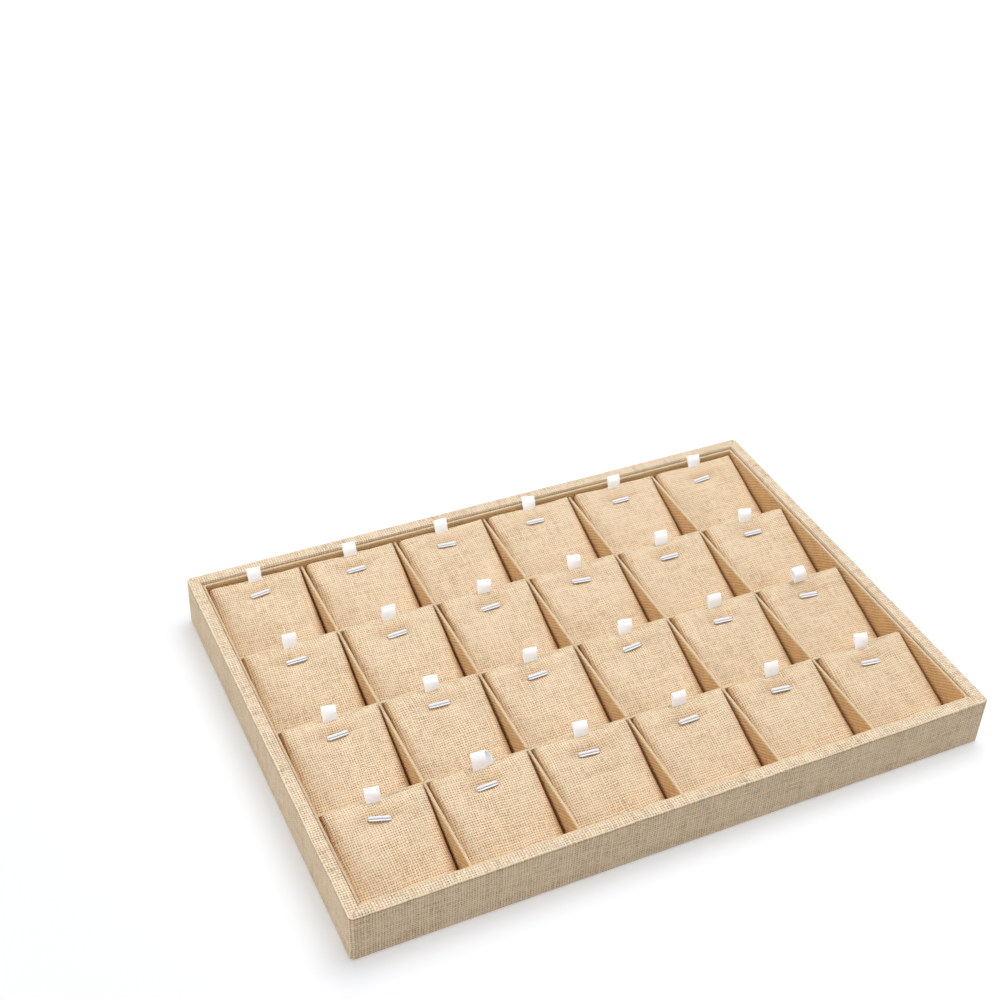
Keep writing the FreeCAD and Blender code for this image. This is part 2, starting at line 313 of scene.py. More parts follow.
def build_weave():
    numbers = {"Yarn Pitch": 1.2 * MM, "Fullness": 0.78, "Slub": 0.5, "Unevenness": 0.4, "Wander": 1.4}
    inputs = {"Cloth": "Vector"} | numbers | dict.fromkeys(YARN_TONES, "Color")
    outputs = {"Colour": "Color", "Height": "Float"}
    tree, given, result = new_tree("burlap_weave", "ShaderNodeTree", inputs, outputs)
    cloth = given("Cloth")
    count = cloth.then("DIVIDE", given("Yarn Pitch"), node=VECTOR)
    for scale, reach in ((WANDER_SCALE, given("Wander")), (TREMBLE_SCALE, TREMBLE_REACH)):
        count = count.then("ADD", wobble(count, scale, reach), node=VECTOR)
    x, y, _ = count.parts()
    crossing = x.then("FLOOR") + y.then("FLOOR")
    over = crossing.then("FLOORED_MODULO", 2.0) * 2.0 - 1.0
    size = given("Fullness"), given("Slub")
    warp, *warp_look = yarns(x, y, over, WARP_SEED, *size)
    weft, *weft_look = yarns(y, x, over * -1.0, WEFT_SEED, *size)
    top = warp.then("MAXIMUM", weft)
    shows = warp > weft
    looks = zip(weft_look, warp_look)
    tone, fibre = [made(tree, "ShaderNodeMix", {0: shows, 2: below, 3: above}) for below, above in looks]
    pale = sway(fibre, FIBRE_PALE, sway(tone, given("Unevenness"), YARN_PALE))
    for scale, share in ((BLOTCH_SCALE, BLOTCH_SHARE), (MOTTLE_SCALE, MOTTLE_SHARE)):
        pale = sway(cloud(cloth, scale), share, pale)
    # Painted highlight and painted shade: yarns are paler on their crests and darker lower down.
    yarn = blend(top * CREST_PAINTED_SHADING + pale, given("Yarn Dark"), given("Yarn Light"))
    feed(result["Colour"], blend(ramp(top, HOLE_FROM, HOLE_TO), yarn, given("Gap")))
    feed(result["Height"], fibre * FIBRE_HEIGHT + top)
    return tree


weave = build_weave()
print("weave group with", len(weave.nodes), "nodes")

# %% [markdown]
# ## Finishes
# Three cloths use the weave: the pads' golden burlap, the walls' greyer one, and a ribbed, darker cloth
# on the card strips, whose folded upper edge is painted paler as a painted highlight. A mask, stored in
# each mesh or worked out from the height, says where a cloth is painted darker as painted shade: over a
# pad's rolled edges, sides and clip dent, on a wall's outer face or below a card's fold.

# %% Cloth finishes
UV_NAME = "UVMap"
YARN_RELIEF, YARN_RELIEF_STRENGTH = 0.4 * MM, 0.9
CLOTH_ROUGHNESS, CLOTH_SHEEN = 0.85, 0.15
FOLD_FROM, FOLD_TO, FOLD_HIGHLIGHT_SHARE = 0.4 * MM, 1.6 * MM, 0.75


def attribute(tree, name):
    return made(tree, "ShaderNodeAttribute", output="Fac", attribute_name=name)


def flat_cloth(tree):
    return made(tree, "ShaderNodeUVMap", uv_map=UV_NAME)


def relief(shader, height, distance, strength):
    """Small bumps of the surface, from a height."""
    bumps = {"Height": height, "Distance": distance, "Strength": strength}
    feed(shader["Normal"], made(height.tree, "ShaderNodeBump", bumps))


def below_fold(tree):
    """Mask of painted shade on a card strip: none along the folded upper edge, full below it."""
    return ramp(attribute(tree, "fold_height") - object_spot(tree).parts()[2], FOLD_FROM, FOLD_TO)


def burlap(name, yarn, tones, tint, mask, bias=None, fold=None):
    """Burlap of a yarn and its tones, tinted darker as painted shade where the mask says. A bias is the
    turn of the cut and how close the crossing yarns lie. A fold is a paler colour painted along a
    folded edge as a painted highlight."""
    finish, tree, shader = new_finish(name, CLOTH_ROUGHNESS)
    cloth = flat_cloth(tree)
    if bias:
        cut = {"Vector": cloth, "Rotation": (0, 0, bias[0]), "Scale": (bias[1], 1, 1)}
        cloth = made(tree, "ShaderNodeMapping", cut, vector_type="TEXTURE")
    inputs = {"Cloth": cloth} | yarn | dict(zip(YARN_TONES, tones))
    pattern = put(tree, "ShaderNodeGroup", inputs, node_tree=weave).outputs
    colour = Value(pattern["Colour"])
    share = mask(tree)
    colour = blend(share, colour, tint, blend_type="MULTIPLY", clamp_factor=False)
    if fold:
        colour = blend(share * FOLD_HIGHLIGHT_SHARE + (1.0 - FOLD_HIGHLIGHT_SHARE), fold, colour)
    feed(shader["Base Color"], colour)
    relief(shader, Value(pattern["Height"]), YARN_RELIEF, YARN_RELIEF_STRENGTH)
    feed(shader["Sheen Weight"], CLOTH_SHEEN)
    return finish


# The pads' rolled edges, standing sides and clip dent are tinted darker: painted shade.
pad_cloth = burlap(
    "pad_burlap",
    {"Yarn Pitch": 1.25 * MM, "Unevenness": 0.3, "Wander": 2.6},
    [(0.96, 0.765, 0.54), (0.52, 0.31, 0.13), (0.28, 0.14, 0.04)],
    (0.68, 0.49, 0.30),
    lambda tree: attribute(tree, "rolled"),
)
# The walls' outer faces are tinted darker: painted shade, deepest along the crease below the rim.
wall_cloth = burlap(
    "wall_burlap",
    {"Yarn Pitch": 1.38 * MM, "Slub": 0.55, "Unevenness": 0.5},
    [(0.94, 0.765, 0.56), (0.50, 0.335, 0.19), (0.31, 0.19, 0.09)],
    (0.80, 0.765, 0.695),
    lambda tree: attribute(tree, "outer"),
)
# The card's faces are tinted darker below the fold as painted shade, and the fold is painted paler as a
# painted highlight.
card_cloth = burlap(
    "card_burlap",
    {"Yarn Pitch": 1.6 * MM, "Fullness": 0.74},
    [(0.96, 0.76, 0.50), (0.63, 0.42, 0.20), (0.32, 0.18, 0.058)],
    (0.95, 0.77, 0.53),
    below_fold,
    bias=(math.radians(-34), 0.45),
    fold=(0.88, 0.68, 0.43),
)
print("cloths", pad_cloth.name, wall_cloth.name, card_cloth.name)

# %% [markdown]
# The loops are satin, whose close warp gives a soft shine. The inside of each loop is painted greyer
# as painted shade, and a little painted glow brightens the white ribbon. The clips are bright rolled
# steel. The board and the paper below it hardly show, so a fine speckle is enough for them.

# %% Satin, steel, board and paper
SATIN_LIGHT, SATIN_PALE, SATIN_INSIDE_SHADE = (0.97, 0.98, 0.99), (0.92, 0.94, 0.97), (0.72, 0.75, 0.80)
SATIN_ROUGHNESS, SATIN_SHEEN, SATIN_GLOW = 0.38, 0.4, 0.26
SATIN_THREADS = {"Scale": 900.0, "Distortion": 0.6, "Detail": 1.0}
SATIN_RELIEF, BOARD_RELIEF = (0.03 * MM, 0.5), (0.1 * MM, 0.3)
BOARD_SPECKS = {"Detail": 6.0, "Roughness": 0.7}
STEEL_TONE, STEEL_SMOOTH, STEEL_ROUGH = (0.86, 0.87, 0.89), 0.36, 0.5
STEEL_LINES, STEEL_DETAIL, STEEL_NOISE = (150.0, 6000.0, 1.0), 3.0, (0.3, 0.7)


def satin():
    """White satin: fine warp lines, a soft sheen, a painted glow, and painted shade inside the loop."""
    finish, tree, shader = new_finish("white_satin", SATIN_ROUGHNESS)
    warp = {"Vector": flat_cloth(tree)} | SATIN_THREADS
    lines = made(tree, "ShaderNodeTexWave", warp, "Fac", bands_direction="X")
    relief(shader, lines, *SATIN_RELIEF)
    tint = blend(attribute(tree, "inside"), blend(lines, SATIN_PALE, SATIN_LIGHT), SATIN_INSIDE_SHADE)
    feed(shader["Base Color"], tint)
    feed(shader["Emission Color"], tint)
    # Painted glow that brightens the ribbon.
    feed(shader["Emission Strength"], SATIN_GLOW)
    feed(shader["Sheen Weight"], SATIN_SHEEN)
    return finish


def steel():
    """Bright rolled steel with faint lines along the strip."""
    finish, tree, shader = new_finish("clip_steel", STEEL_ROUGH)
    drawn = made(tree, "ShaderNodeMapping", {"Vector": flat_cloth(tree), "Scale": STEEL_LINES})
    lines = cloud(drawn, 1.0, STEEL_DETAIL)
    feed(shader["Roughness"], ramp(lines, *STEEL_NOISE, STEEL_SMOOTH, STEEL_ROUGH))
    feed(shader["Base Color"], STEEL_TONE)
    feed(shader["Metallic"], 1.0)
    return finish


def speckled(name, light, dark, scale, roughness):
    """Matt sheet or board with a fine speckle."""
    finish, tree, shader = new_finish(name, roughness)
    specks = {"Vector": object_spot(tree), "Scale": scale} | BOARD_SPECKS
    grain = made(tree, "ShaderNodeTexNoise", specks)
    feed(shader["Base Color"], blend(grain, dark, light))
    relief(shader, grain, *BOARD_RELIEF)
    return finish


white_satin = satin()
clip_steel = steel()
raw_board = speckled("raw_board", (0.55, 0.42, 0.27), (0.36, 0.26, 0.16), 900.0, 0.9)
backing_paper = speckled("backing_paper", (0.27, 0.21, 0.15), (0.17, 0.13, 0.09), 500.0, 0.8)
for node, finish in (("base_board", raw_board), ("base_cover", backing_paper)):
    sheet_mesh = frame["nodes"][node].data
    sheet_mesh.materials.clear()
    sheet_mesh.materials.append(finish)
print("finishes", len(bpy.data.materials))

# %% [markdown]
# ## Making pieces
# Every piece ends as a plain mesh in the shared frame. It rides on its body and stands for the CAD
# node that it replaces.

# %% Piece helpers
SHARP_ANGLE = math.radians(40)
HAIR = 0.01 * MM


def finish_piece(name, mesh, finish, body, nodes, sharp=SHARP_ANGLE):
    """Piece of a mesh in its finish, on its body, which stands for CAD nodes."""
    mesh.materials.clear()
    mesh.materials.append(finish)
    mesh.polygons.foreach_set("use_smooth", [True] * len(mesh.polygons))
    if sharp:
        mesh.set_sharp_from_angle(angle=sharp)
    piece = link(bpy.data.objects.new(name, mesh))
    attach(piece, body)
    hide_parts(*nodes)
    return piece


def mark(mesh, name, values):
    """Stores a value for each point of a mesh."""
    mesh.attributes.new(name, "FLOAT", "POINT").data.foreach_set("value", values)


def mesh_from(name, points, faces, flat):
    """Mesh with outward faces. flat gives the cloth's flat coordinates for each point."""
    mesh = bpy.data.meshes.new(name)
    mesh.from_pydata(points, [], faces)
    layer = mesh.uv_layers.new(name=UV_NAME)
    for loop in mesh.loops:
        layer.data[loop.index].uv = flat[loop.vertex_index]
    shell = bmesh.new()
    shell.from_mesh(mesh)
    bmesh.ops.recalc_face_normals(shell, faces=shell.faces)
    shell.to_mesh(mesh)
    shell.free()
    return mesh


def swept(rings, size, steps):
    """Faces between the rings of a sweep. Each ring has as many points as the size says."""
    faces = []
    for start in range(0, (rings - 1) * size, size):
        for step in range(steps):
            here, after = start + step, start + (step + 1) % size
            faces.append((here, after, after + size, here + size))
    return faces


def baked(obj):
    """Plain mesh of an object with its modifiers, which leaves no object behind."""
    graph = bpy.context.evaluated_depsgraph_get()
    mesh = bpy.data.meshes.new_from_object(obj.evaluated_get(graph), depsgraph=graph)
    bpy.data.objects.remove(obj)
    return mesh


def modified(mesh, kind, **settings):
    """Plain mesh after one modifier."""
    host = link(bpy.data.objects.new(mesh.name, mesh))
    set_all(host.modifiers.new(kind.lower(), kind), settings)
    return baked(host)


print("piece helpers ready")

# %% [markdown]
# ## Walls
# Each wall is a board with burlap pulled over it and folded into a mitre at the rim's corners. The
# section below is swept from mitre to mitre. Cloth on a board is never quite flat, so the surface
# gets a shallow swell, and the rim dips at the mitre where the two folds meet. The outer faces are
# painted darker as painted shade, most of all along the crease below the rim as a painted shadow line.

# %% Walls
WALL_THICKNESS = 6.5 * MM
CORNER_RADIUS, RIM_RADIUS = 2.5 * MM, 1.0 * MM
CREASE_DEPTH, CREASE_SHADE = 0.7 * MM, 2.6
FOOT_BREAK, BASE_LET_IN = 0.8 * MM, 3.0 * MM
CORNER_RUN, STATION_STEP = 10.0 * MM, 2.5 * MM
MITRE_STATIONS = [0.0, 0.3 * MM, 0.7 * MM, 1.2 * MM]
CORNER_STATIONS = [3.5 * MM, 5.5 * MM, 7.5 * MM]
FACE_STEPS, ROUND_STEPS, TOP_STEPS, INNER_STEPS = 10, 5, 4, 6
SWELL, SWELL_PER_METRE = 0.10 * MM, 60.0
MITRE_DIP, MITRE_REACH, MITRE_GAP = 0.30 * MM, 1.6 * MM, 0.05 * MM
BASE_SEAT = WALL_THICKNESS - BASE_LET_IN
MITRE_ANGLE, CORNER_SWEEP = math.radians(225), math.radians(45)
CORNER_ARC = CORNER_RADIUS * CORNER_SWEEP
CORNER_JOIN = CORNER_ARC + CORNER_RUN - CORNER_RADIUS
tray_low, tray_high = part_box("front_wall")[0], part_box("rear_wall")[1]
TRAY_LENGTH = 2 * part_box("right_wall")[1].x
TRAY_DEPTH = 2 * tray_high.y
RIM_HEIGHT = tray_high.z
RIM_SPRING = RIM_HEIGHT - RIM_RADIUS
WALL_FOOT = tray_low.z
TRAY_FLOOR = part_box("base_board")[1].z


def spread(start, end, count):
    """Evenly spaced values from start up to, but without, end."""
    return [start + (end - start) * index / count for index in range(count)]


def wall_section():
    """Outline of a wall as (inset from the outer face, height), from the foot up and over the rim."""
    points = [(FOOT_BREAK, WALL_FOOT)]
    points += [(0.0, z) for z in spread(WALL_FOOT + FOOT_BREAK, RIM_SPRING, FACE_STEPS)]
    points += [(0.0, RIM_SPRING - CREASE_DEPTH)]
    for angle in spread(math.pi, math.pi / 2, ROUND_STEPS):
        points.append((RIM_RADIUS * (1 + math.cos(angle)), RIM_SPRING + RIM_RADIUS * math.sin(angle)))
    top = spread(RIM_RADIUS, WALL_THICKNESS - RIM_RADIUS, TOP_STEPS)
    points += [(inset, RIM_HEIGHT) for inset in top]
    for angle in spread(math.pi / 2, 0.0, ROUND_STEPS):
        inset = WALL_THICKNESS + RIM_RADIUS * (math.cos(angle) - 1)
        points.append((inset, RIM_SPRING + RIM_RADIUS * math.sin(angle)))
    points += [(WALL_THICKNESS, z) for z in spread(RIM_SPRING, TRAY_FLOOR, INNER_STEPS)]
    return points + [(WALL_THICKNESS, TRAY_FLOOR), (BASE_SEAT, TRAY_FLOOR), (BASE_SEAT, WALL_FOOT)]


def wall_plan(inset, along):
    """Place in plan, from the box's outer corner, at a distance along the outer face from the mitre."""
    if inset < CORNER_RADIUS and along < CORNER_ARC:
        angle = MITRE_ANGLE + CORNER_SWEEP * along / CORNER_ARC
        reach = CORNER_RADIUS - inset
        return CORNER_RADIUS + reach * math.cos(angle), CORNER_RADIUS + reach * math.sin(angle)
    straight = along - CORNER_ARC + CORNER_RADIUS
    if inset >= CORNER_RADIUS and along < CORNER_JOIN:
        straight = inset + (CORNER_RUN - inset) * along / CORNER_JOIN
    return straight, inset


def wall_mesh(name, length, depth, turns):
    """Wrapped wall of an outer length, turned in quarter turns round the tray from the front."""
    half = CORNER_ARC + length / 2 - CORNER_RADIUS
    near = MITRE_STATIONS + [CORNER_ARC] + CORNER_STATIONS + [CORNER_JOIN]
    near += spread(CORNER_JOIN, half, round((half - CORNER_JOIN) / STATION_STEP))[1:]
    stations = [(along, 1) for along in near] + [(half, 1)] + [(along, -1) for along in reversed(near)]
    section = wall_section()
    around = [0.0]
    for (inset, height), (next_inset, next_height) in zip(section, section[1:]):
        around.append(around[-1] + math.hypot(next_inset - inset, next_height - height))
    crease = max(step for step, (inset, _) in enumerate(section) if inset == 0)
    turn = Matrix.Rotation(turns * math.pi / 2, 4, "Z")
    points, flat, outer = [], [], []
    for along, end in stations:
        dip = max(0.0, 1 - along / MITRE_REACH) ** 2
        for step, (inset, height) in enumerate(section):
            x, y = wall_plan(inset, along)
            x += MITRE_GAP * dip
            at_rim = height > RIM_HEIGHT / 2
            if inset > FOOT_BREAK:
                height -= MITRE_DIP * dip * at_rim
            spot = Vector((end * (x - length / 2), y - depth / 2, height))
            swell = SWELL * noise.noise((turn @ spot) * SWELL_PER_METRE)
            if 0 < inset < WALL_THICKNESS:
                spot.z += swell * at_rim
            else:
                spot.y += swell
            points.append(turn @ spot)
            flat.append((end * (length / 2 - x), around[step]))
            # Outer faces are marked for painted shade, and the crease below the rim most, as a painted
            # shadow line.
            outer.append(CREASE_SHADE if step == crease else float(inset == 0))
    size = len(section)
    ends = [list(range(size)), list(range(len(points) - size, len(points)))]
    mesh = mesh_from(name, points, ends + swept(len(stations), size, size), flat)
    mark(mesh, "outer", outer)
    return mesh


for turns, side in enumerate(("front", "right", "rear", "left")):
    spans = (TRAY_LENGTH, TRAY_DEPTH) if turns % 2 == 0 else (TRAY_DEPTH, TRAY_LENGTH)
    wall = wall_mesh(f"{side}_wrap", *spans, turns)
    finish_piece(f"{side}_wrap", wall, wall_cloth, "tray", [f"{side}_wall"])
    print(f"{side}_wrap", len(wall.polygons), "faces")

# %% [markdown]
# ## Covered card
# The liners and the dividers are the same thing: a strip of card with cloth folded over its upper
# edge. One Geometry Nodes tree sweeps a rounded section along a line, cuts half-lap slots where
# strips cross, repeats the strip at a pitch, and lets it waver a little as real card does.

# %% Geometry helpers
CORNER_PAIR = {"data_type": "FLOAT2", "domain": "CORNER"}


def measured(curve):
    """Curve that remembers how far along it each point lies, and that distance."""
    kept = put(curve.tree, "GeometryNodeCaptureAttribute", {"Geometry": curve})
    kept.capture_items.new("FLOAT", "Run")
    feed(kept.inputs["Run"], made(curve.tree, "GeometryNodeSplineParameter", output="Length"))
    return Value(kept.outputs["Geometry"]), Value(kept.outputs["Run"])


def stored(shape, name, value, **settings):
    """Shape with a named attribute."""
    entry = {"Geometry": shape, "Name": name, "Value": value}
    return made(shape.tree, "GeometryNodeStoreNamedAttribute", entry, **settings)


def moved(shape, **change):
    """Shape after a Translation, a Rotation or both."""
    return made(shape.tree, "GeometryNodeTransform", {"Geometry": shape} | change)


def repeated(shape, count, start, pitch):
    """Copies of a shape in a row, as real geometry."""
    row = {"Count": count, "Start Location": start, "Offset": pitch}
    points = made(shape.tree, "GeometryNodeMeshLine", row)
    copies = made(shape.tree, "GeometryNodeInstanceOnPoints", {"Points": points, "Instance": shape})
    return made(shape.tree, "GeometryNodeRealizeInstances", {"Geometry": copies})


def hand_over(shape, result, finish):
    """Ends a tree: real geometry in its finish."""
    whole = made(shape.tree, "GeometryNodeRealizeInstances", {"Geometry": shape})
    done = made(shape.tree, "GeometryNodeSetMaterial", {"Geometry": whole, "Material": finish})
    feed(result["Geometry"], done)


def from_tree(name, tree, values):
    """Plain mesh made by a geometry tree with the named input values."""
    host = link(bpy.data.objects.new(name, bpy.data.meshes.new(name)))
    modifier = host.modifiers.new("made_by", "NODES")
    modifier.node_group = tree
    for item in tree.interface.items_tree:
        if item.in_out == "INPUT" and item.name in values:
            modifier[item.identifier] = values[item.name]
    return baked(host)


print("geometry helpers ready")

# %% [markdown]
# The strip's own run and girth become the flat coordinates of its cloth. The height of the fold is
# stored too, for the mask that paints shade below the fold and a highlight along it.

# %% Card tree
CARD_EDGE, CARD_EDGE_STEPS = 0.5 * MM, 4
CARD_STEP = 3.0 * MM
CARD_WAVER, CARD_WAVER_SCALE = 0.16 * MM, 38.0
SLOT_CLEARANCE, SLOT_REACH = 0.15 * MM, 3.0


def build_card_tree():
    strip_inputs = {"Length": 0.3, "Thickness": 1.5 * MM, "Bottom": 0.0, "Top": 0.02, "Turn": 0.0}
    row_inputs = {"Strips": 1, "Strip Pitch": 0.05, "Finish": "Material"}
    slot_inputs = {"Slots": 0, "Slot Pitch": 0.05, "Slot Bottom": 0.0, "Slot Top": 0.0}
    inputs = strip_inputs | row_inputs | slot_inputs
    tree, given, result = new_tree("covered_card", "GeometryNodeTree", inputs, {"Geometry": "Geometry"})
    thickness, bottom, top = given("Thickness"), given("Bottom"), given("Top")
    half = given("Length") * 0.5
    ends = {"Start": vector(tree, half * -1.0), "End": vector(tree, half)}
    rail = made(tree, "GeometryNodeCurvePrimitiveLine", ends)
    rail = made(tree, "GeometryNodeResampleCurve", {"Curve": rail, "Length": CARD_STEP}, mode="LENGTH")
    rail, run = measured(rail)
    oblong = {"Width": thickness, "Height": top - bottom}
    section = made(tree, "GeometryNodeCurvePrimitiveQuadrilateral", oblong)
    edge = {"Curve": section, "Count": CARD_EDGE_STEPS, "Radius": CARD_EDGE, "Limit Radius": True}
    section, girth = measured(made(tree, "GeometryNodeFilletCurve", edge, mode="POLY"))
    sweep = {"Curve": rail, "Profile Curve": section, "Fill Caps": True}
    strip = made(tree, "GeometryNodeCurveToMesh", sweep)
    strip = stored(strip, UV_NAME, vector(tree, run, girth), **CORNER_PAIR)
    strip = stored(strip, "fold_height", top)
    strip = moved(strip, Translation=vector(tree, 0.0, 0.0, (top + bottom) * 0.5))

    slots, pitch = given("Slots"), given("Slot Pitch")
    low, high = given("Slot Bottom"), given("Slot Top")
    size = vector(tree, thickness + 2 * SLOT_CLEARANCE, thickness * SLOT_REACH, high - low)
    start = vector(tree, (slots - 1.0) * pitch * -0.5, 0.0, (low + high) * 0.5)
    slot = made(tree, "GeometryNodeMeshCube", {"Size": size})
    cutters = repeated(slot, slots, start, vector(tree, pitch))
    cut = made(tree, "GeometryNodeMeshBoolean", {"Mesh 1": strip, "Mesh 2": cutters}, solver="EXACT")
    choice = {"Switch": slots > 0.5, "False": strip, "True": cut}
    strip = made(tree, "GeometryNodeSwitch", choice, input_type="GEOMETRY")

    count, pitch = given("Strips"), given("Strip Pitch")
    start = vector(tree, 0.0, (count - 1.0) * pitch * -0.5)
    strips = repeated(strip, count, start, vector(tree, 0.0, pitch))
    here = made(tree, "GeometryNodeInputPosition")
    waver = wobble(here, CARD_WAVER_SCALE, (0.0, 2 * CARD_WAVER, 2 * CARD_WAVER))
    strips = made(tree, "GeometryNodeSetPosition", {"Geometry": strips, "Offset": waver})
    strips = moved(strips, Rotation=vector(tree, 0.0, 0.0, given("Turn")))
    hand_over(strips, result, given("Finish"))
    return tree


card_tree = build_card_tree()
print("card tree with", len(card_tree.nodes), "nodes")

# %% [markdown]
# The tree is set by the CAD nodes' own boxes. A liner is one strip without slots. The column
# dividers are five strips slotted from above, and the row dividers three strips slotted from below.
# Dividers are a hair shorter than the CAD ones, so that their waver stays clear of the liners.

# %% Liners and dividers
row_low, row_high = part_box("row_dividers")
column_low, column_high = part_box("column_dividers")
COLUMNS, ROWS = 6, 4
CARD_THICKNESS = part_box("left_liner")[1].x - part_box("left_liner")[0].x
DIVIDER_THICKNESS = 1.5 * MM
DIVIDER_TOP = row_high.z
DIVIDER_HALF = (TRAY_FLOOR + DIVIDER_TOP) / 2
COLUMN_PITCH = (column_high.x - column_low.x - DIVIDER_THICKNESS) / (COLUMNS - 2)
ROW_PITCH = (row_high.y - row_low.y - DIVIDER_THICKNESS) / (ROWS - 2)
CARD_FOOT = TRAY_FLOOR + CARD_WAVER
QUARTER = math.pi / 2


def card_piece(name, node, values, middle=(0, 0, 0)):
    """Strips of covered card from the tree, for one CAD node."""
    values |= {"Bottom": CARD_FOOT, "Finish": card_cloth}
    card = from_tree(name, card_tree, values)
    card.transform(Matrix.Translation(middle))
    finish_piece(name, card, card_cloth, "tray", [node])
    print(name, len(card.polygons), "faces")


crates = {
    "column": {
        "Length": column_high.y - column_low.y - 2 * CARD_WAVER,
        "Strips": COLUMNS - 1,
        "Strip Pitch": COLUMN_PITCH,
        "Slots": ROWS - 1,
        "Slot Pitch": ROW_PITCH,
        "Slot Bottom": DIVIDER_HALF,
        "Slot Top": DIVIDER_TOP + DIVIDER_THICKNESS,
        "Turn": QUARTER,
    },
    "row": {
        "Length": row_high.x - row_low.x - 2 * CARD_WAVER,
        "Strips": ROWS - 1,
        "Strip Pitch": ROW_PITCH,
        "Slots": COLUMNS - 1,
        "Slot Pitch": COLUMN_PITCH,
        "Slot Bottom": TRAY_FLOOR - DIVIDER_THICKNESS,
        "Slot Top": DIVIDER_HALF,
    },
}
for way, values in crates.items():
    values |= {"Thickness": DIVIDER_THICKNESS, "Top": DIVIDER_TOP}
    card_piece(f"{way}_cards", f"{way}_dividers", values)
for side in ("front", "rear", "left", "right"):
    low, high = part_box(f"{side}_liner")
    along_x = side in ("front", "rear")
    values = {
        "Length": high.x - low.x if along_x else high.y - low.y,
        "Thickness": CARD_THICKNESS,
        "Top": high.z,
        "Turn": 0.0 if along_x else QUARTER,
    }
    middle = ((low.x + high.x) / 2, (low.y + high.y) / 2, 0)
    card_piece(f"{side}_lining", f"{side}_liner", values, middle)

# %% [markdown]
# ## Pads
# A pad is a foam wedge in a burlap cover. The cover starts as panels on a wedge whose top is a little
# low. The top panel's flat coordinates run on over the edges and down the sides, so that the weave
# follows the roll as real cloth does. A shallow dent marks where the clip pulls the cloth in, and the
# right edge droops towards the front corner.

# %% Pad cover
PAD_FRONT = 5.0 * MM
PAD_ABOVE_DIVIDERS = 3.0 * MM
LEFT_ROLL, FRONT_ROLL, REAR_ROLL = 2.8 * MM, 2.4 * MM, 0.4 * MM
RIGHT_ROLL, RIGHT_DROOP = 0.8 * MM, 2.4 * MM
# Painted shade over the pad's rolled edges and standing sides:
EDGE_SHADE, EDGE_FADE = 2.4 * MM, 1.3
SIDE_SHADE, SIDE_TOP = 1.4, 0.8
SIDE_LINES = [0.0, 0.5 * MM, 1.2 * MM, 2.4 * MM]
REAR_LINES = [0.0, 0.25 * MM, 0.7 * MM, 2.0 * MM]
CLIP_LINES = [-2.4 * MM, -0.9 * MM, 0.9 * MM, 2.4 * MM]
LINE_ROOM = 0.8 * MM
PANEL_STEP = 3.0 * MM
SIDE_FALLS = (0.0, 0.25, 0.5, 0.75, 1.0)
LUMPS = ((60.0, 0.35 * MM, 9.1), (150.0, 0.12 * MM, 5.3))
CLIP_FROM_REAR, CLIP_LENGTH = 11.0 * MM, 11.5 * MM
DENT_DEPTH, DENT_LENGTH, DENT_WIDTH = 0.8 * MM, 0.56 * CLIP_LENGTH, 1.5 * MM
HOLLOW_DEPTH, HOLLOW_BEHIND, HOLLOW_WIDTH = 1.0 * MM, 3.0 * MM, 3.4 * MM
# Painted shade in the clip's dent:
DENT_SHADE = 0.4
pad_low, pad_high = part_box("pad_r1c1")
PAD_WIDTH, PAD_DEPTH = pad_high.x - pad_low.x, pad_high.y - pad_low.y
PAD_REAR = DIVIDER_TOP + PAD_ABOVE_DIVIDERS - TRAY_FLOOR
PAD_RISE = (PAD_REAR - PAD_FRONT) / PAD_DEPTH
CLIP_LINE, CLIP_SEAT = PAD_DEPTH - CLIP_FROM_REAR, PAD_DEPTH / 2 - CLIP_FROM_REAR


def rolled(distance, radius):
    """Fall of a rounded edge at a distance in from the side."""
    short = max(0.0, radius - distance)
    return radius - math.sqrt(radius**2 - short**2)


def right_roll(y):
    """Radius of the right edge, which droops towards the front corner."""
    return RIGHT_ROLL + RIGHT_DROOP * (1 - y / PAD_DEPTH) ** 2


def clip_dent(x, y):
    """How far the clip draws the cloth in, with a wider hollow behind it."""
    aside, ahead = x - PAD_WIDTH / 2, y - CLIP_LINE
    dent = math.exp(-((aside / DENT_LENGTH) ** 4) - (ahead / DENT_WIDTH) ** 2)
    hollow = math.exp(-((aside / CLIP_LENGTH) ** 2) - ((ahead - HOLLOW_BEHIND) / HOLLOW_WIDTH) ** 2)
    return DENT_DEPTH * dent + HOLLOW_DEPTH * hollow


def cover_top(x, y, seed):
    """Height of the top panel before the foam fills it."""
    side_fall = max(rolled(x, LEFT_ROLL), rolled(PAD_WIDTH - x, right_roll(y)))
    end_fall = max(rolled(y, FRONT_ROLL), rolled(PAD_DEPTH - y, REAR_ROLL))
    top = PAD_FRONT + PAD_RISE * y - math.hypot(side_fall, end_fall) - clip_dent(x, y)
    for scale, height, step in LUMPS:
        top += height * noise.noise(Vector((x * scale, y * scale, seed * step)))
    return top


def painted_edge_shade(spot, seed):
    """Painted shade: full on the pad's standing sides, falling to 0 over the left, right and front
    edges, with a lighter painted shade in the clip's dent."""
    left, right = spot.x + PAD_WIDTH / 2, PAD_WIDTH / 2 - spot.x
    front = spot.y + PAD_DEPTH / 2
    if spot.z < SIDE_TOP * cover_top(left, front, seed):
        return SIDE_SHADE
    wider = EDGE_SHADE * (1 - front / PAD_DEPTH)
    reaches = ((left, LEFT_ROLL + wider), (right, right_roll(front) + wider), (front, FRONT_ROLL))
    edge = max(max(0.0, 1 - distance / reach) for distance, reach in reaches)
    return max(DENT_SHADE * clip_dent(left, front) / MM, edge**EDGE_FADE)


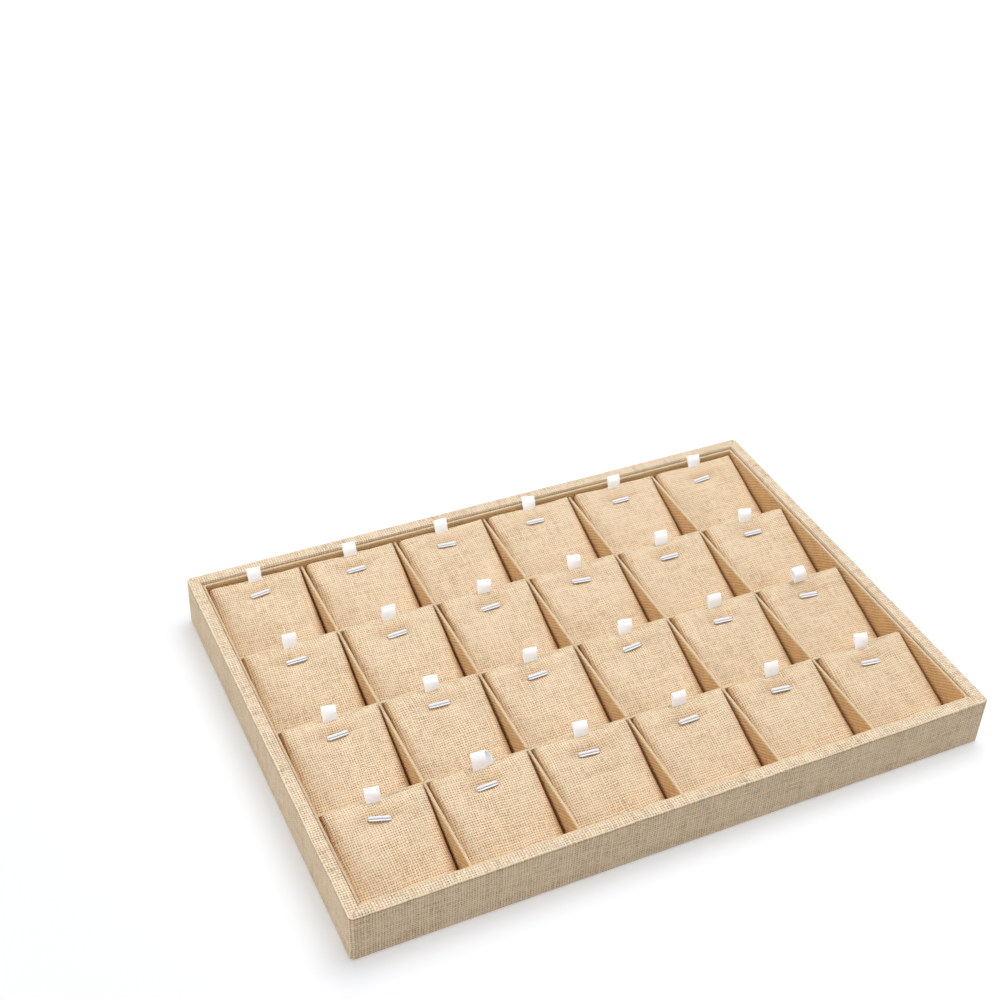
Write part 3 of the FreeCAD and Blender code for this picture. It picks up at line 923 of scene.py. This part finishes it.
def panel_lines(length, far, kept):
    """Grid lines of a panel: close together near its edges and at the kept lines."""
    inner = spread(SIDE_LINES[-1], length - far[-1], round(length / PANEL_STEP) - 2)
    lines = SIDE_LINES + inner[1:] + [length - offset for offset in far]
    lines = [line for line in lines if all(abs(line - held) > LINE_ROOM for held in kept)]
    return sorted(lines + kept)


def add_panel(shell, layer, rows):
    """Grid of faces from rows of (point, flat coordinates)."""
    grid = [[(shell.verts.new(point), flat) for point, flat in row] for row in rows]
    for row, after in zip(grid, grid[1:]):
        for step in range(len(row) - 1):
            corners = (row[step], row[step + 1], after[step + 1], after[step])
            face = shell.faces.new([vert for vert, _ in corners])
            for loop, (_, flat) in zip(face.loops, corners):
                loop[layer].uv = flat


def pad_cover(seed):
    """Closed cover of one pad, centred over its footprint."""
    xs = panel_lines(PAD_WIDTH, SIDE_LINES, [(PAD_WIDTH + side * CLIP_LENGTH) / 2 for side in (-1, 1)])
    ys = panel_lines(PAD_DEPTH, REAR_LINES, [CLIP_LINE + line for line in CLIP_LINES])
    stretch = math.hypot(1, PAD_RISE)
    shell = bmesh.new()
    layer = shell.loops.layers.uv.new(UV_NAME)

    def spot(x, y, fall, out):
        top = cover_top(x, y, seed)
        flat = Vector((x, y * stretch)) + Vector(out) * top * fall
        return (x - PAD_WIDTH / 2, y - PAD_DEPTH / 2, top * (1 - fall)), flat

    for fall in (0, 1):
        add_panel(shell, layer, [[spot(x, y, fall, (0, 0)) for x in xs] for y in ys])
    for x, out in ((0, (-1, 0)), (PAD_WIDTH, (1, 0))):
        add_panel(shell, layer, [[spot(x, y, fall, out) for y in ys] for fall in SIDE_FALLS])
    for y, out in ((0, (0, -1)), (PAD_DEPTH, (0, 1))):
        add_panel(shell, layer, [[spot(x, y, fall, out) for x in xs] for fall in SIDE_FALLS])
    bmesh.ops.remove_doubles(shell, verts=shell.verts, dist=0.1 * HAIR)
    bmesh.ops.recalc_face_normals(shell, faces=shell.faces)
    mesh = bpy.data.meshes.new("pad_cover")
    shell.to_mesh(mesh)
    shell.free()
    # The rolled edges, sides and clip dent are marked for painted shade.
    mark(mesh, "rolled", [painted_edge_shade(vertex.co, seed) for vertex in mesh.vertices])
    return mesh


print("cover with", len(pad_cover(0).polygons), "faces before it is filled")

# %% [markdown]
# Foam pushes the cover out until the cloth is tight. A short cloth simulation does the same: pressure
# inside, no gravity, the foot and the slit held still. It runs on an enlarged copy, because cloth
# settings suit shapes of about a metre. The movement is capped so that a pad still fits its cell.

# %% Fill the covers
SEED = 2406
COVER_KINDS = 6
CLOTH_SCALE, CLOTH_FRAMES = 20.0, 20
FOAM_PRESSURE, FOAM_RANGE = 6.0, (0.7, 1.3)
FILL_CAP = Vector((0.3, 0.3, 0.8)) * MM
SLIT_HALF_LENGTH, SLIT_HALF_WIDTH = 0.52 * CLIP_LENGTH, 1.0 * MM
COVER_CLOTH = {"quality": 6, "mass": 0.3, "vertex_group_mass": "held", "use_pressure": True}
COVER_STRETCH = {"tension_stiffness": 25, "compression_stiffness": 25}
COVER_BEND = {"shear_stiffness": 8, "bending_stiffness": 1.5}


def filled(cover, pressure):
    """Cover after a short cloth simulation, with the movement capped, and smoothed once."""
    start = [vertex.co.copy() for vertex in cover.vertices]
    held = []
    for index, spot in enumerate(start):
        at_slit = abs(spot.y - CLIP_SEAT) < SLIT_HALF_WIDTH and abs(spot.x) < SLIT_HALF_LENGTH
        if spot.z < HAIR or at_slit:
            held.append(index)
    cover.transform(Matrix.Scale(CLOTH_SCALE, 4))
    bag = link(bpy.data.objects.new("bag", cover))
    bag.vertex_groups.new(name="held").add(held, 1.0, "REPLACE")
    foam = bag.modifiers.new("foam", "CLOTH")
    set_all(foam.settings, COVER_CLOTH | COVER_STRETCH | COVER_BEND)
    foam.settings.uniform_pressure_force = pressure
    foam.settings.effector_weights.gravity = 0
    foam.collision_settings.use_collision = False
    foam.point_cache.frame_end = CLOTH_FRAMES
    last = CLOTH_FRAMES
    for number in range(1, last + 1):
        bpy.context.scene.frame_set(number)
    soft = baked(bag)
    bpy.context.scene.frame_set(1)
    soft.transform(Matrix.Scale(1 / CLOTH_SCALE, 4))
    furthest = 0.0
    for vertex, before in zip(soft.vertices, start):
        move = vertex.co - before
        furthest = max(furthest, move.length)
        vertex.co = before + Vector(max(-cap, min(cap, part)) for part, cap in zip(move, FILL_CAP))
    print("cover filled, furthest move", round(furthest / MM, 2), "mm before the cap")
    return modified(soft, "SUBSURF", levels=1, render_levels=1)


chance = random.Random(SEED)
covers = []
for kind in range(COVER_KINDS):
    covers.append(filled(pad_cover(kind), FOAM_PRESSURE * chance.uniform(*FOAM_RANGE)))

# %% [markdown]
# Six covers serve twenty-four cells. Each pad is turned and shifted by a hair, and its cloth is cut
# from another part of the roll, so that no two look alike. The rear row has settled a little lower.

# %% Place the pads
PAD_YAW, PAD_TIP = math.radians(0.35), math.radians(0.5)
PAD_SHIFT, PAD_FORWARD = 0.15 * MM, 0.4 * MM
REAR_ROW, REAR_SETTLE = "r1", 0.97
CLOTH_SKEW = math.radians(2.5)


def recut(mesh, turn, offset):
    """Moves the cover's flat coordinates to another part of the cloth."""
    layer = mesh.uv_layers[UV_NAME]
    spin = Matrix.Rotation(turn, 2)
    for corner in layer.data:
        corner.uv = spin @ corner.uv + offset


pad_sway = {}
for place in places:
    low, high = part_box(f"pad_{place}")
    cushion = chance.choice(covers).copy()
    shift = Vector((chance.uniform(-1, 1), chance.uniform(-1, 1), 0)) * PAD_SHIFT
    yaw, tip = chance.uniform(-1, 1) * PAD_YAW, chance.uniform(-1, 1) * PAD_TIP
    foot = low.z + math.sin(abs(tip)) * PAD_WIDTH / 2
    middle = Vector(((low.x + high.x) / 2, (low.y + high.y) / 2 - PAD_FORWARD, foot)) + shift
    settled = Matrix.Scale(REAR_SETTLE if place.startswith(REAR_ROW) else 1.0, 4, (0, 0, 1))
    turn = Matrix.Rotation(yaw, 4, "Z") @ Matrix.Rotation(tip, 4, "Y")
    pad_sway[place] = Matrix.Translation(middle) @ turn @ settled
    cushion.transform(pad_sway[place])
    recut(cushion, chance.uniform(-1, 1) * CLOTH_SKEW, Vector((chance.random(), chance.random())))
    piece = finish_piece(
        f"cushion_{place}", cushion, pad_cloth, f"insert_{place}", [f"pad_{place}"], sharp=None
    )
print(len(places), "pads placed")

# %% [markdown]
# ## Satin loops
# A short length of satin ribbon is folded double, and its ends are sewn into the pad's back edge. It
# is swept along the fold's path. The ribbon keeps a memory of the fold, so each loop leans, twists
# and gapes in its own way. In the photograph one comes down beside itself, and one gapes wide.

# %% Satin loops
LOOP_WIDTH, LOOP_THICKNESS = 7.4 * MM, 0.22 * MM
LOOP_RISE = 6.0 * MM
LOOP_FROM_REAR = 1.4 * MM
LOOP_ACROSS, LOOP_SMOOTH = 8, 4
LOOP_LEAN_POWER = 1.2
FOLD_SIDE = [(0.25, -5.0), (0.25, -0.4), (0.7, 2.4), (1.0, 5.2), (0.62, 7.7)]
FOLD_TOP = 8.6
LOOP_BELLIES = {"front_belly": (0.5, 1.1), "rear_belly": (0.9, 1.6)}
LOOP_TURNS = {"lean": (0.30, 0.50), "tilt": (-0.05, 0.05), "twist": (-14, 2), "cup": (-0.3, 0.4)}


def loop_path(front_belly, rear_belly, height):
    """Side view of the folded ribbon as (y, z), from the front end over the fold to the rear end: a
    smooth cubic curve through the knots."""
    front = [(-y * (front_belly if z > 0 else 1), z) for y, z in FOLD_SIDE]
    rear = [(y * (rear_belly if z > 0 else 1), z) for y, z in reversed(FOLD_SIDE)]
    knots = [Vector((y * MM, z * height / FOLD_TOP)) for y, z in front + [(0.0, FOLD_TOP)] + rear]
    path = []
    for index in range(len(knots) - 1):
        before, here = knots[max(0, index - 1)], knots[index]
        there, after = knots[index + 1], knots[min(len(knots) - 1, index + 2)]
        for t in spread(0.0, 1.0, LOOP_SMOOTH):
            pull = (there - before) * t + (2 * before - 5 * here + 4 * there - after) * t**2
            path.append(here + 0.5 * (pull + (3 * here - before - 3 * there + after) * t**3))
    return path + [knots[-1]]


def loop_mesh(name, front_belly, rear_belly, lean, tilt, twist, cup, splay=0.0, height=LOOP_RISE):
    """Ribbon swept along its path. Lean and tilt grow from the seam up to the fold. The twist, in
    degrees, is full half way up. The cup is in millimetres. The rear tail is splayed to one side."""
    points, flat, run = [], [], 0.0
    path = loop_path(front_belly, rear_belly, height)
    for index, spot in enumerate(path):
        run += (spot - path[index - 1]).length if index else 0.0
        rise = max(0.0, spot.y / height)
        aside = splay * min(1.0, max(0.0, 2 * index / (len(path) - 1) - 1) * 2)
        for step in range(LOOP_ACROSS + 1):
            side = 2 * step / LOOP_ACROSS - 1
            arm = Vector((side * LOOP_WIDTH / 2, spot.x + cup * MM * (1 - side**2) * rise))
            arm.rotate(Matrix.Rotation(math.radians(twist) * min(1.0, 2 * rise), 2))
            back = arm.y + lean * rise**LOOP_LEAN_POWER * height
            points.append((arm.x + aside + tilt * rise * height, back, spot.y))
            flat.append((side * LOOP_WIDTH / 2, run))
    ribbon = mesh_from(name, points, swept(len(path), LOOP_ACROSS + 1, LOOP_ACROSS), flat)
    mesh = modified(ribbon, "SOLIDIFY", thickness=LOOP_THICKNESS, offset=0.0)
    heart = Vector((tilt * height / 2, lean * height / 2, height / 2))
    # The loop's inside is marked for the satin's painted shade.
    mark(mesh, "inside", [float(vertex.normal.dot(vertex.co - heart) < 0) for vertex in mesh.vertices])
    return mesh


loop_seat = Matrix.Translation((0, PAD_DEPTH / 2 - LOOP_FROM_REAR, PAD_REAR))
splayed = {"twist": -6, "lean": 0.4, "tilt": -0.05, "splay": 3.6 * MM, "height": 7.0 * MM}
gaping = {"twist": 2, "lean": 0.2, "tilt": -0.26, "height": 7.6 * MM}
wayward = {
    "r4c2": {"front_belly": 0.9, "rear_belly": 1.6, "cup": 0.2} | splayed,
    "r3c6": {"front_belly": 2.1, "rear_belly": 2.7, "cup": 0.2} | gaping,
}
for place in places:
    shape = {name: chance.uniform(*ends) for name, ends in (LOOP_BELLIES | LOOP_TURNS).items()}
    loop = loop_mesh(f"loop_{place}", **wayward.get(place, shape))
    loop.transform(pad_sway[place] @ loop_seat)
    finish_piece(f"loop_{place}", loop, white_satin, f"insert_{place}", [f"pad_{place}"])
print(len(places), "loops sewn in")

# %% [markdown]
# ## Spring clips
# A clip is one strip of spring steel, folded at the bottom, with two leaves that press together and
# two lips curled outwards. The bend follows a rule, so a Geometry Nodes tree rolls a flat grid up
# along that rule: first half the fold, then the leaf, then the lip's arc, the same on both sides.

# %% Clip tree
CLIP_STEEL, CLIP_MOUTH, CLIP_DEPTH = 0.4 * MM, 0.1 * MM, 5.5 * MM
CLIP_LIP_RADIUS, CLIP_LIP_TURN = 0.95 * MM, math.radians(105)
CLIP_ABOVE_CLOTH, CLIP_CORNER = 0.25 * MM, 1.4 * MM
CLIP_GRID = {"Size Y": 2.0, "Vertices X": 21, "Vertices Y": 61}


def build_clip_tree():
    leaf_inputs = {"Half Mouth": CLIP_MOUTH / 2, "Depth": CLIP_DEPTH, "Leaf": CLIP_DEPTH}
    lip_inputs = {"Lip Radius": CLIP_LIP_RADIUS, "Lip Turn": CLIP_LIP_TURN, "Corner": CLIP_CORNER}
    seat_inputs = {"Yaw": 0.0, "Slope": 0.0, "Place": "Vector", "Finish": "Material"}
    inputs = {"Length": CLIP_LENGTH} | leaf_inputs | lip_inputs | seat_inputs
    tree, given, result = new_tree("spring_clip", "GeometryNodeTree", inputs, {"Geometry": "Geometry"})
    half_mouth, radius, corner = given("Half Mouth"), given("Lip Radius"), given("Corner")
    flat = made(tree, "GeometryNodeMeshGrid", {"Size X": given("Length")} | CLIP_GRID)
    along, across, _ = made(tree, "GeometryNodeInputPosition").parts()
    reach = half_mouth + given("Leaf") + radius * given("Lip Turn")
    run = across.then("ABSOLUTE") * reach
    side = across.then("SIGN")
    fold = run.then("MINIMUM", half_mouth)
    up = (run - half_mouth).then("MAXIMUM", 0.0)
    leaf = up.then("MINIMUM", given("Leaf"))
    bend = (up - leaf) / radius
    y = side * ((1.0 - bend.then("COSINE")) * radius + fold)
    z = leaf + bend.then("SINE") * radius - given("Depth")
    short = (corner - (reach - run)).then("MAXIMUM", 0.0)
    inset = corner - (corner * corner - short * short).then("SQRT")
    x = along * (1.0 - inset / (given("Length") * 0.5))
    marked = stored(flat, UV_NAME, vector(tree, along, side * run), **CORNER_PAIR)
    bent = made(tree, "GeometryNodeSetPosition", {"Geometry": marked, "Position": vector(tree, x, y, z)})
    yawed = moved(bent, Rotation=vector(tree, 0.0, 0.0, given("Yaw")))
    seated = moved(yawed, Translation=given("Place"), Rotation=vector(tree, given("Slope")))
    hand_over(seated, result, given("Finish"))
    return tree


clip_tree = build_clip_tree()
print("clip tree with", len(clip_tree.nodes), "nodes")

# %% [markdown]
# Clips are pushed in by hand, so each one sits at a slightly different angle and distance from the
# pad's edge, and one lies nearly level. The bent sheet is then given the steel's thickness.

# %% Clips
PAD_SLOPE = math.atan(PAD_RISE)
CLIP_YAW = math.radians(7)
LEVEL_CLIP, LEVEL_CLIP_YAW = "r4c1", math.radians(-20)
CLIP_SHIFT = 0.7 * MM
CLIP_ROOT = CLIP_ABOVE_CLOTH - (CLIP_LIP_RADIUS - CLIP_STEEL) * math.sin(CLIP_LIP_TURN)
for place in places:
    seat = CLIP_SEAT + chance.uniform(-1, 1) * CLIP_SHIFT
    seat_height = PAD_FRONT + PAD_RISE * (seat + PAD_DEPTH / 2)
    values = {
        "Leaf": CLIP_DEPTH + CLIP_ROOT,
        "Yaw": chance.uniform(-1, 1) * CLIP_YAW + (LEVEL_CLIP_YAW if place == LEVEL_CLIP else 0.0),
        "Slope": PAD_SLOPE,
        "Place": (chance.uniform(-1, 1) * CLIP_SHIFT, seat, seat_height),
        "Finish": clip_steel,
    }
    sheet = from_tree(f"spring_{place}", clip_tree, values)
    bent = modified(sheet, "SOLIDIFY", thickness=CLIP_STEEL, offset=-1.0)
    bent.transform(pad_sway[place])
    finish_piece(f"spring_{place}", bent, clip_steel, f"insert_{place}", [f"clip_{place}"])
print(len(places), "clips seated")
